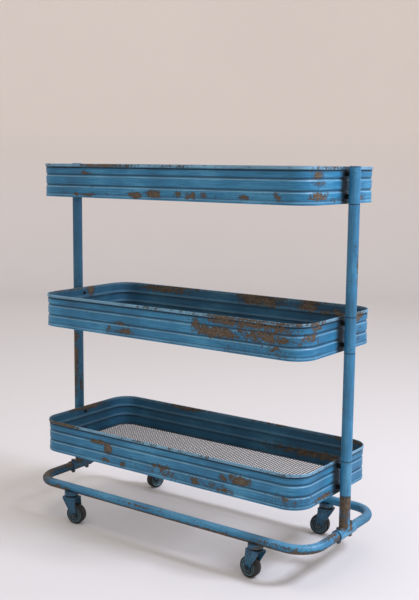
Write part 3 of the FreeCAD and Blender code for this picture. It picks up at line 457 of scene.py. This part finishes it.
def makeTrayWall(level):
    # The section carried round the outline: p = path(s) + out(s) (offset(t) - ripple), z = height(t),
    # where ripple is a product of two slow sines along s and fades to nothing at rim and foot
    low, high = (np.array(corner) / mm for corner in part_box(f"{level}_tray_wall"))
    total = high[2] - low[2]
    length, width = (high - low)[:2] - 2 * tray["rimProud"]
    section, inside = wallSection(total)
    path, out, along = trayPath(length, width, tray["corner"], tray["step"])
    endMiddle = length / 2 + width / 2 - tray["corner"] * (2 - math.pi / 2)
    offset, height = section[:, 0], section[:, 1]
    phase = levels.index(level) * 2.1
    wave = np.sin(along / 61 + phase) * np.sin(along / 173 + 1.3 * phase)
    middle = np.sin(np.pi * np.clip(height / total, 0, 1))
    inwards = tray["ripple"] * (wave[:, None] + 1) / 2 * middle[None, :]
    reach = offset[None, :] - inwards
    flat = path[:, None, :] + out[:, None, :] * reach[:, :, None]
    points = np.empty((*reach.shape, 3))
    points[:, :, :2] = flat
    points[:, :, 2] = height + low[2]
    s, h = along[:, None], height[None, :]
    bare = np.where(inside > 0.5, spotMark(s, h, wornInside[level]), spotMark(s, h, wornOutside[level]))
    rim = np.clip((h - total + tray["rimHeight"]) / 2, 0, 1)
    bare = bare + rim * (0.15 + 0.13 * np.sin(s / 47 + phase) * np.sin(s / 131 + phase))
    out = 1 - inside
    grooves = [tray["grooveLow"], total - tray["grooveHigh"]]
    # painted shade: dark bands on the upper flank of each groove, under the rim, just above the hem and
    # behind the sleeve at the middle of each end; inside, the whole wall is darkened, partly grime and
    # partly painted shade, with painted shade below each groove
    grooveShade = sum(arcBump(h, c + 0.8, 2.6) for c in grooves)
    shadeBelow = np.clip(1.3 - np.abs(h - (total - tray["rimHeight"] - 1.6)) / 2.2, 0, 1)
    hemShade = np.clip(1 - np.abs(h - tray["hemHeight"] - 1.2) / 1.4, 0, 1)
    shadeBehindSleeve = np.exp(-((np.abs(s) - endMiddle) / 26) ** 4)
    grooveShadeIn = sum(arcBump(h, c - 6.5, 4.0) for c in grooves)
    grimeAndShade = out * (0.75 * grooveShade + shadeBelow + 0.45 * hemShade + shadeBehindSleeve) + inside * (0.55 + 0.3 * grooveShadeIn)
    # painted highlight: a pale line on the lower lip of each groove, outside and in, on the top of the hem
    # and along the rim
    lipHighlight = sum(np.clip(1 - np.abs(h - c + 3.6) / 1.5, 0, 1) for c in grooves)
    lipHighlightIn = sum(np.clip(1 - np.abs(h - c) / 2.0, 0, 1) for c in grooves)
    hemHighlight = np.clip(1 - np.abs(h - tray["hemHeight"] + 1.0) / 1.5, 0, 1)
    pale = out * (lipHighlight + 0.8 * hemHighlight) + 0.9 * inside * lipHighlightIn + rim * 0.8
    marks = {"bare": bare, "grimeAndShade": np.clip(grimeAndShade, 0, 1) * np.ones_like(bare),
             "pale": np.clip(pale, 0, 1) * np.ones_like(bare)}
    shift = levels.index(level) * 3000 + 5000
    piece = gridPiece(f"{level}_tray_sheet", points * mm, (along + shift) * mm,
                      np.append(0, np.cumsum(np.hypot(*np.diff(section, axis=0).T))) * mm, (True, True),
                      "frame", "painted_sheet", sheetPaint, marks)
    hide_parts(f"{level}_tray_wall")


for level in levels:
    makeTrayWall(level)
print("tray walls made")


# Tray floors: two layers of straight wires welded where they cross

# Real wire would be about 1.3 mm both ways: the lower layer is drawn thicker so that the mesh shows
wire = {
    "across": 2.0,      # mm thick, the lower layer, front to back
    "along": 0.9,       # the upper layer, end to end
    "pitch": 8.2,
    "gap": 0.4,         # between the wires' ends and the wall
    "edge": 2,          # no wire closer to the floor's edge than this
    "nest": 0.3,        # upper layer's middle above the lower's top, in its own thickness
    "sides": 6,
    "rings": 6,
    "bow": 0.12,        # how far a wire wanders sideways
}


def wireLayer(places, reach, thick, height, alongX, rng):
    # A hexagonal tube for each place, from -reach to reach: centre line plus r (cos a, sin a) across it
    t = np.linspace(-1, 1, wire["rings"])
    run = reach[:, None] * t
    bow = rng.uniform(-1, 1, (len(places), wire["rings"])) * wire["bow"]
    turn = np.arange(wire["sides"]) * 2 * math.pi / wire["sides"]
    side = thick / 2 * np.cos(turn)
    rise = thick / 2 * np.sin(turn)
    across = places[:, None, None] + bow[:, :, None] + side
    points = np.empty((*across.shape, 3))
    points[..., 0 if alongX else 1] = run[:, :, None]
    points[..., 1 if alongX else 0] = across
    points[..., 2] = height + rise
    count, rings, sides = across.shape
    first = np.arange(count)[:, None, None] * rings * sides
    ring = np.arange(rings - 1)[None, :, None] * sides
    a = np.arange(sides)[None, None, :]
    b = (a + 1) % sides
    wall = np.stack(np.broadcast_arrays(first + ring + a, first + ring + b,
                                        first + ring + sides + b, first + ring + sides + a), -1)
    start = np.arange(count)[:, None] * rings * sides
    last = start + (rings - 1) * sides
    caps = [start + np.array([[0, 3, 2, 1]]), start + np.array([[0, 5, 4, 3]]),
            last + np.array([[0, 1, 2, 3]]), last + np.array([[0, 3, 4, 5]])]
    faces = np.concatenate([wall.reshape(-1, 4), *caps])
    return points.reshape(-1, 3), faces if alongX else faces[:, ::-1]


def roundedReach(places, halfLong, halfWide, corner):
    # Half length of a wire that a rounded rectangle holds: hl - r + (r^2 - (|p| - hw + r)^2) ^ 0.5
    past = np.clip(np.abs(places) - halfWide + corner, 0, corner)
    return halfLong - corner + np.sqrt(corner ** 2 - past ** 2)


def makeTrayMesh(level):
    # Straight wires a pitch apart both ways, each as long as the rounded outline is wide at its place
    low, high = (np.array(corner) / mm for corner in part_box(f"{level}_tray_floor"))
    halfX, halfY = (high - low)[:2] / 2
    corner = tray["corner"] - tray["sheet"] - wire["gap"]
    rng = np.random.default_rng(seed + levels.index(level))
    alongCount, acrossCount = (int((half - wire["edge"]) / wire["pitch"]) for half in (halfY, halfX))
    alongRows = np.arange(-alongCount, alongCount + 1) * wire["pitch"]
    acrossRows = np.arange(-acrossCount, acrossCount + 1) * wire["pitch"]
    acrossReach = roundedReach(acrossRows, halfY, halfX, corner)
    alongReach = roundedReach(alongRows, halfX, halfY, corner)
    lower, lowerFaces = wireLayer(acrossRows, acrossReach, wire["across"],
                                  low[2] + wire["across"] / 2, False, rng)
    upper, upperFaces = wireLayer(alongRows, alongReach, wire["along"],
                                  low[2] + wire["across"] + wire["along"] * wire["nest"], True, rng)
    points = np.concatenate([lower, upper]) * mm
    faces = np.concatenate([lowerFaces, upperFaces + len(lower)])
    piece = meshPiece(f"{level}_tray_mesh", points, faces, "frame", "mesh_wire", meshWire, sharp=80.0)
    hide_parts(f"{level}_tray_floor")


for level in levels:
    makeTrayMesh(level)
print("mesh floors made")


# Base rails: round tube bent through two corners

rail = {
    "corner": 60.0,     # mm, on the tube's middle line
    "radius": 11.0,
    "wall": 1.5,
    "around": 28,       # points round the tube
    "skinStart": {"front": 1500, "rear": 2700},     # mm, so that the two rails' streaks differ
}
# Worn places along the tube from its middle, round it from its outer side, as for the walls
wornRail = {
    "front": [(-415, 16, 60, 20, 0.42), (-520, 10, 60, 40, 0.46), (220, -6, 140, 5, 0.46),
              (0, -7, 150, 4, 0.45), (-330, -6, 46, 9, 0.46), (400, -7, 60, 6, 0.40),
              (480, 14, 40, 8, 0.36), (-190, -7, 80, 4, 0.42), (-500, 8, 56, 28, 0.42),
              (320, 4, 60, 4, 0.3), (-60, 6, 90, 3, 0.26), (500, 0, 30, 8, 0.34)],
    "rear": [(-300, 0, 90, 14, 0.4), (200, 10, 120, 12, 0.42), (480, 0, 60, 10, 0.36),
             (30, -16, 100, 8, 0.4)],
}
# Darker places along each tube, listed as the worn places are: the left end and long bands along the
# underside
darkenedRail = {
    "front": [(-480, 0, 100, 60, 0.8), (-250, -11, 200, 8, 0.8), (200, -11, 280, 8, 0.9),
              (410, -10, 60, 7, 0.7)],
    "rear": [(480, 0, 100, 60, 0.8), (0, -14, 500, 10, 0.7), (-460, 0, 60, 60, 0.4)],
}


def makeRail(side, turn):
    # A circle carried along a U (leg, arc, long line, arc, leg), then back along it at the bore's
    # radius, so that both ends close as flat rings: p = centre(s) + out(s) r cos t + up r sin t
    nodeLow, nodeHigh = (np.array(corner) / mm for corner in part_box(f"{side}_rail"))
    r = rail["radius"]
    endX = nodeHigh[0] - r
    deep = (nodeHigh - nodeLow)[1] - r
    bend = rail["corner"]
    x, arc, leg = endX - bend, bend * math.pi / 2, deep - bend
    s = np.concatenate([np.linspace(0, x, 50, endpoint=False), x + np.linspace(0, arc, 26, endpoint=False),
                        x + arc + np.linspace(0, leg, 20)])
    angle = np.clip(s - x, 0, arc) / bend
    out = np.stack([np.sin(angle), -np.cos(angle)], -1)
    centre = np.stack([np.clip(s, 0, x), np.clip(s - x - arc, 0, leg) - (deep - bend)], -1) + bend * out
    flip = np.array([-1.0, 1.0])
    centre = np.concatenate([centre[:0:-1] * flip, centre])
    out = np.concatenate([out[:0:-1] * flip, out])
    along = np.concatenate([-s[:0:-1], s])
    around = np.arange(rail["around"]) * 2 * math.pi / rail["around"]
    height = (nodeLow[2] + nodeHigh[2]) / 2
    # there on the outside, back on the inside
    there = np.arange(len(along))
    walk = np.concatenate([there, there[::-1]])
    outside = np.repeat([True, False], len(along))[:, None]
    radius = np.where(outside, r, r - rail["wall"])
    sideways = (radius * np.cos(around))[:, :, None]
    points = np.empty((len(walk), rail["around"], 3))
    points[:, :, :2] = centre[walk][:, None, :] + out[walk][:, None, :] * sideways
    points[:, :, 2] = height + radius * np.sin(around)
    points[:, :, :2] *= turn
    along = along[walk]
    girth = ((around + math.pi) % (2 * math.pi) - math.pi) * r
    bare = spotMark(along[:, None], girth[None, :], wornRail[side])
    darkPlaces = spotMark(along[:, None], girth[None, :], darkenedRail[side])
    # painted shade: the tube darker along its underside and all through its bore; painted highlight: paler
    # along its top
    shadeBelow = 0.45 * np.clip(-np.sin(around), 0, 1)
    marks = {"bare": np.where(outside, bare + 0.06, 0),
             "pale": outside * 0.35 * np.clip(np.sin(around), 0, 1) ** 2,
             "grimeAndShade": np.where(outside, np.clip(shadeBelow + darkPlaces, 0, 1), 1)}
    skinAlong = (along + rail["skinStart"][side]) * mm
    piece = gridPiece(f"{side}_rail_tube", points * mm, skinAlong, around * r * mm, (True, True),
                      "frame", "painted_tube", tubePaint, marks)
    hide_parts(f"{side}_rail")


makeRail("front", 1)
makeRail("rear", -1)
print("rails made")


# Posts, sleeves and tees: turned profiles

post = {
    "radius": 12.7,     # mm
    "wall": 1.6,
    "neck": 11.05,
    "neckLength": 30.0,
    "chamfer": 0.6,
}
# Worn places of each tube: round it from its right side, height above its foot
wornPost = {
    "left_lower_post": [(-22, 125, 12, 90, 0.46), (-2, 60, 8, 30, 0.36), (-30, 200, 9, 40, 0.32)],
    "left_upper_post": [(-34, 120, 6, 90, 0.32)],
    "right_upper_post": [(3, 116, 5, 24, 0.5), (-10, 150, 4, 12, 0.32), (2, 80, 4, 14, 0.34)],
    "right_lower_post": [(-34, 140, 6, 70, 0.32), (20, 90, 10, 30, 0.4)],
    "left_stub": [(-8, 40, 34, 60, 0.5)],
    "right_stub": [(-14, 66, 30, 26, 0.5), (-20, 26, 16, 30, 0.44), (10, 40, 20, 30, 0.4)],
    "left_collar": [(0, 0, 60, 60, 0.36)],
    "right_collar": [(0, -20, 30, 12, 0.4), (24, 10, 20, 16, 0.4)],
}


def turnedPiece(name, profile, centre, axis, body, slot, material, marks, around=36):
    # A closed profile of (radius, height) turned about an axis: r (u cos t + v sin t) + h a
    profile = np.array(profile, float)
    axis = np.array(axis, float) / np.linalg.norm(axis)
    u = np.cross([0, 1, 0] if abs(axis[2]) > 0.5 else [0, 0, 1], axis)
    u = u / np.linalg.norm(u)
    v = np.cross(axis, u)
    t = np.arange(around) * 2 * math.pi / around
    ring = np.cos(t)[:, None] * u + np.sin(t)[:, None] * v
    points = profile[:, :1, None] * ring + profile[:, 1:, None] * axis + np.array(centre)
    along = profile[:, 1] + centre[2] + 4000 + 3 * centre[0]
    spread = {mark: values * np.ones((len(profile), around)) for mark, values in marks.items()}
    return gridPiece(name, points * mm, along * mm, t * profile[:, 0].max() * mm, (True, True), body, slot,
                     material, spread)


def tubeMarks(profile, worn, darkening, around=36):
    # Worn places by distance round the tube and height, dirt in a thin line at both ends, and the whole
    # tube darkened to at least the given darkening
    profile = np.array(profile, float)
    t = np.arange(around) * 2 * math.pi / around
    girth = ((t + math.pi) % (2 * math.pi) - math.pi) * post["radius"]
    height = profile[:, 1:]
    bare = spotMark(girth[None, :], height, wornPost.get(worn, []))
    shoulder = height[profile[:, 0] > post["neck"] + 0.5]
    end = np.minimum(height - shoulder.min(), shoulder.max() - height)
    return {"bare": bare + 0.04, "pale": 0.1, "grimeAndShade": np.clip(1.2 - end / 1.5, darkening, 1)}


def steppedSide(radius, low, high, step):
    # Points up a straight side, close enough together to carry the worn places, closer still at the ends
    inner = np.linspace(low + 2, high - 2, max(2, round((high - low) / step)))
    return [(radius, z) for z in [low, low + 0.8, *inner, high - 0.8, high]]


def tubePiece(name, profile, centre, worn, darkening, axis=(0, 0, 1)):
    # A turned profile in tube paint, with its own worn places
    return turnedPiece(name, profile, centre, axis, "frame", "painted_tube", tubePaint,
                       tubeMarks(profile, worn, darkening))


def makeSleeve(node, darkening):
    # A short tube: bore, chamfer c at 45 degrees, outer radius r, chamfer, turned about its axis
    low, high = (np.array(corner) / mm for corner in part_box(node))
    total = high[2] - low[2]
    r, c, inner = post["radius"], post["chamfer"], post["radius"] - post["wall"]
    profile = [(inner, 0), (r - c, 0)] + steppedSide(r, c, total - c, 8) + [(r - c, total), (inner, total)]
    piece = tubePiece(node + "_tube", profile, [*(low + high)[:2] / 2, low[2]], node, darkening)
    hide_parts(node)


def makePost(node, darkening):
    # A long tube drawn down to a neck n long at both ends, turned about its axis
    low, high = (np.array(corner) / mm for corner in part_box(node))
    r, c, neck, n = post["radius"], post["chamfer"], post["neck"], post["neckLength"]
    total = high[2] - low[2] - 2 * n
    inner = neck - post["wall"]
    profile = [(inner, -n), (neck, -n), (neck, 0), (r - c, 0)] + steppedSide(r, c, total - c, 8)
    profile += [(r - c, total), (neck, total), (neck, total + n), (inner, total + n)]
    piece = tubePiece(node + "_tube", profile, [*(low + high)[:2] / 2, low[2] + n], node, darkening)
    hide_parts(node)


tee = {
    "collar": 13.2,     # mm, radius
    "bore": 11.05,
    "half": 38.0,       # half the collar's length
    "bead": 1.2,        # weld bead, radius
    "ripples": 26,
    "seam": 11.9,       # half the weld line's size along the collar's bend
    "beadAlong": 120,   # points along the bead and round it
    "beadRound": 8,
}


def makeTee(end, darkening):
    # Collar and stub are turned profiles. The bead is a rippled ring carried round the line where the
    # two meet, z = (R^2 - x^2) ^ 0.5 on the collar
    node = end + "_tee"
    low, high = (np.array(corner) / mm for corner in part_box(node))
    middle = [*(low + high)[:2] / 2, low[2] + tee["collar"]]
    r, c, half = tee["collar"], post["chamfer"], tee["half"]
    collar = [(tee["bore"], -half), (r - c, -half)] + steppedSide(r, c - half, half - c, 4)
    collar += [(r - c, half), (tee["bore"], half)]
    piece = tubePiece(end + "_tee_collar", collar, middle, end + "_collar", darkening, axis=(0, 1, 0))
    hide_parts(node)
    r, neck, n = post["radius"], post["neck"], post["neckLength"]
    tall = high[2] - middle[2] - n
    stub = [(neck - post["wall"], 4)] + steppedSide(r, 4, tall - c, 6)
    stub += [(r - c, tall), (neck, tall), (neck, tall + n), (neck - post["wall"], tall + n)]
    tubePiece(end + "_tee_stub", stub, middle, end + "_stub", darkening)
    t = np.arange(tee["beadAlong"]) * 2 * math.pi / tee["beadAlong"]
    b = np.arange(tee["beadRound"]) * 2 * math.pi / tee["beadRound"]
    reach = tee["collar"] - (tee["collar"] - tee["seam"]) * np.cos(t) ** 2
    rise = np.sqrt(tee["collar"] ** 2 - (reach * np.cos(t)) ** 2)
    fat = tee["bead"] * (0.86 + 0.14 * np.cos(tee["ripples"] * t))[:, None]
    out = reach[:, None] + fat * np.cos(b)
    points = np.stack([out * np.cos(t)[:, None], out * np.sin(t)[:, None],
                       rise[:, None] + fat * np.sin(b)], -1)
    points = (points + np.array(middle)) * mm
    flat = np.ones((tee["beadAlong"], tee["beadRound"]))
    gridPiece(end + "_tee_weld", points, t * 13 * mm, b * mm, (True, True), "frame", "painted_tube",
              tubePaint, {"bare": 0.3 * flat, "pale": 0.3 * flat, "grimeAndShade": max(darkening, 0.25) * flat})


# the left end's sleeves, posts and tee are darkened all over, half way towards the near-black grime and
# shade colour; the right end's are not
for end, darkening in (("left", 0.5), ("right", 0.0)):
    for level in levels:
        makeSleeve(f"{end}_{level}_sleeve", darkening)
    makePost(f"{end}_lower_post", darkening)
    makePost(f"{end}_upper_post", darkening)
    makeTee(end, darkening)
print("posts, sleeves and tees made")


# Wheels: turned hub and tyre

wheel = {
    "tread": 24.99,     # mm, radius in the middle
    "crown": 1.7,       # how much smaller it is at the shoulder
    "half": 10.5,
    "seat": 20.4,       # radius where the tyre sits on the hub
    "hubHalf": 11.4,
    "bore": 3.05,
    "web": 8.4,
}


def tyreProfile():
    # Seat, rounded side with a shallow moulded ring, round shoulder, then a tread that falls with z squared
    half, seat = wheel["half"], wheel["seat"]
    side = [(seat, half - 1.0), (seat + 0.4, half - 0.3), (seat + 1.0, half), (seat + 1.3, half),
            (seat + 1.5, half - 0.35), (seat + 1.9, half - 0.35), (seat + 2.1, half),
            (seat + 2.6, half - 0.05), (seat + 3.0, half - 0.35), (seat + 3.3, half - 0.8)]
    z = np.linspace(half - 1.3, 1.3 - half, 15)
    crown = [(wheel["tread"] - wheel["crown"] * (h / half) ** 2, h) for h in z]
    profile = side + crown + [(r, -z) for r, z in reversed(side)]
    return profile, [0.0] * 10 + [1.0] * 15 + [0.0] * 10


def hubProfile():
    # Middle boss, web, raised ring, web, rim, with the corners eased; 1 marks where dirt gathers
    half, web, bore = wheel["hubHalf"], wheel["web"], wheel["bore"]
    side = [(bore, half - 0.3, 0), (bore + 0.4, half, 0), (6.3, half, 0), (6.65, half - 0.3, 0),
            (7.2, web + 0.5, 1), (7.7, web, 1), (10.6, web, 1), (11.0, web + 0.2, 0.5),
            (11.25, web + 1.0, 0),
            (11.5, web + 1.2, 0), (12.75, web + 1.2, 0), (13.0, web + 1.0, 0), (13.25, web + 0.2, 0.5),
            (13.7, web, 1), (16.4, web, 1), (16.9, web + 0.4, 1), (17.4, half - 1.7, 0),
            (17.8, half - 1.4, 0),
            (19.9, half - 1.4, 0), (20.4, half - 1.8, 0.6)]
    profile = [(r, z) for r, z, _ in side] + [(r, -z) for r, z, _ in reversed(side)]
    darkening = [d for *_, d in side]
    return profile, darkening + darkening[::-1]


for corner in ("front_left", "front_right", "rear_left", "rear_right"):
    joint = next(j for j in frame["joints"] if j["name"] == corner + "_wheel_spin")
    hubCentre = [part / mm for part in joint["pos_m"]]
    for part, (profile, dust), slot, finish in (("tyre", tyreProfile(), "tyre_rubber", tyreRubber),
                                                ("wheel_hub", hubProfile(), "wheel_hub", hubNylon)):
        piece = turnedPiece(f"{corner}_{part}_turned", profile, hubCentre, joint["axis"], corner + "_wheel",
                            slot, finish, {"dust": np.array(dust)[:, None]}, around=56)
        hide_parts(f"{corner}_{part}")
print("wheels made")


# Studio: a round pale cove, a big window light from the right, soft fill

studio = {
    "floorRadius": 4.4,        # metres
    "coveRadius": 1.0,
    "wallTop": 2.4,
    "floorPaper": "#D3CFCE",
    "wallPaper": "#E7DDD4",
    "window": {"place": (2.6, 0.5, 3.0), "size": (0.8, 0.8), "power": 125.0, "colour": "#E6ECFF"},
    "overhead": {"place": (-0.2, -0.4, 3.3), "size": (2.0, 2.0), "power": 14.0, "colour": "#FFF6EC"},
    "sky": "#F4F1F0",
    "skyStrength": 0.92,
}


def makeCove():
    # A profile of floor, quarter round and wall turned upright: (r cos t, r sin t, h)
    flat = np.linspace(0, studio["floorRadius"], 12)
    bend = np.linspace(0, math.pi / 2, 14)[1:]
    radius = np.concatenate([flat, studio["floorRadius"] + studio["coveRadius"] * np.sin(bend)])
    height = np.concatenate([0 * flat, studio["coveRadius"] * (1 - np.cos(bend))])
    radius = np.append(radius, radius[-1])
    height = np.append(height, studio["wallTop"])
    angle = np.arange(96) * 2 * math.pi / 96
    points = np.stack([radius[:, None] * np.cos(angle), radius[:, None] * np.sin(angle),
                       height[:, None] * np.ones_like(angle)], -1).reshape(-1, 3)
    faces, _ = gridFaces(len(radius), 96, False, True)
    mesh = bpy.data.meshes.new("paperCove")
    mesh.from_pydata(points, [], faces[:, ::-1])
    mesh.polygons.foreach_set("use_smooth", np.ones(len(faces), bool))
    cove = bpy.data.objects.new("paperCove", mesh)
    bpy.context.scene.collection.objects.link(cove)
    # seamless paper, calendered: matt, very slightly cloudy, warmer up the wall
    material = newMaterial("calenderedPaper")
    place = addNode(material, "ShaderNodeTexCoord", {}, out="Object")
    cloud, fibre = (addNode(material, "ShaderNodeTexNoise", {
        "Vector": place, "Scale": 1000 / size, "Detail": 2.0}) for size in (1250, 2.5))
    height = addNode(material, "ShaderNodeSeparateXYZ", {0: place}, out="Z")
    rise, shade = (addNode(material, "ShaderNodeMapRange", {
        "Value": value, "From Max": most, "To Min": low, "To Max": high})
        for value, most, low, high in ((height, 1.2, 0.0, 1.0), (cloud, 1.0, 0.96, 1.0)))
    colour = addNode(material, "ShaderNodeMix", {
        0: rise, 6: studio["floorPaper"], 7: studio["wallPaper"]}, out=2, data_type="RGBA")
    colour = addNode(material, "ShaderNodeMix", {0: 1.0, 6: colour, 7: shade}, out=2, data_type="RGBA",
                     blend_type="MULTIPLY")
    normal = addNode(material, "ShaderNodeBump", {"Height": fibre, "Strength": 0.1, "Distance": 0.0002})
    cove.data.materials.append(finishMaterial(material, colour, 0.9, normal))


def areaLight(name, look):
    # A lamp turned to the cart: back = place - middle, right = up x back, so its -Z looks at the middle
    light = bpy.data.lights.new(name, "AREA")
    light.shape = "RECTANGLE"
    light.size, light.size_y = look["size"]
    light.energy = look["power"]
    light.color = hexColour(look["colour"])[:3]
    lamp = bpy.data.objects.new(name, light)
    bpy.context.scene.collection.objects.link(lamp)
    place = np.array(look["place"])
    back = place - np.array([0, 0, 0.45])
    back = back / np.linalg.norm(back)
    right = np.cross([0, 0, 1], back)
    right = right / np.linalg.norm(right)
    up = np.cross(back, right)
    turned = np.eye(4)
    turned[:3, :3] = np.stack([right, up, back], -1)
    turned[:3, 3] = place
    lamp.matrix_world = mathutils.Matrix(turned.tolist())


makeCove()
areaLight("window", studio["window"])
areaLight("overhead", studio["overhead"])
world = bpy.data.worlds.new("studioAir")
world.use_nodes = True
world.node_tree.nodes["Background"].inputs["Color"].default_value = hexColour(studio["sky"])
world.node_tree.nodes["Background"].inputs["Strength"].default_value = studio["skyStrength"]
bpy.context.scene.world = world
print("studio made")


# Camera

camera = {
    "place": (1.3822, -1.8803, 0.9274),   # metres
    "swing": -35.78,                      # degrees from +Y towards +X
    "down": 8.19,
    "tilt": 0.546,
    "lens": 57.1,
}


def makeCamera():
    # Looks along d = (sin s cos p, cos s cos p, -sin p), rolled by the tilt
    swing, down, tilt = (math.radians(camera[key]) for key in ("swing", "down", "tilt"))
    ahead = np.array([math.sin(swing) * math.cos(down), math.cos(swing) * math.cos(down), -math.sin(down)])
    right = np.cross(ahead, [0, 0, 1])
    right = right / np.linalg.norm(right)
    up = np.cross(right, ahead)
    rolledRight = math.cos(tilt) * right + math.sin(tilt) * up
    rolledUp = math.cos(tilt) * up - math.sin(tilt) * right
    turned = np.eye(4)
    turned[:3, :3] = np.stack([rolledRight, rolledUp, -ahead], -1)
    turned[:3, 3] = camera["place"]
    data = bpy.data.cameras.new("camera")
    data.lens = camera["lens"]
    data.sensor_width = 36.0
    data.clip_start, data.clip_end = 0.05, 50.0
    eye = bpy.data.objects.new("camera", data)
    bpy.context.scene.collection.objects.link(eye)
    eye.matrix_world = mathutils.Matrix(turned.tolist())
    bpy.context.scene.camera = eye


makeCamera()
bpy.context.scene.view_settings.view_transform = "Standard"
print("camera set")
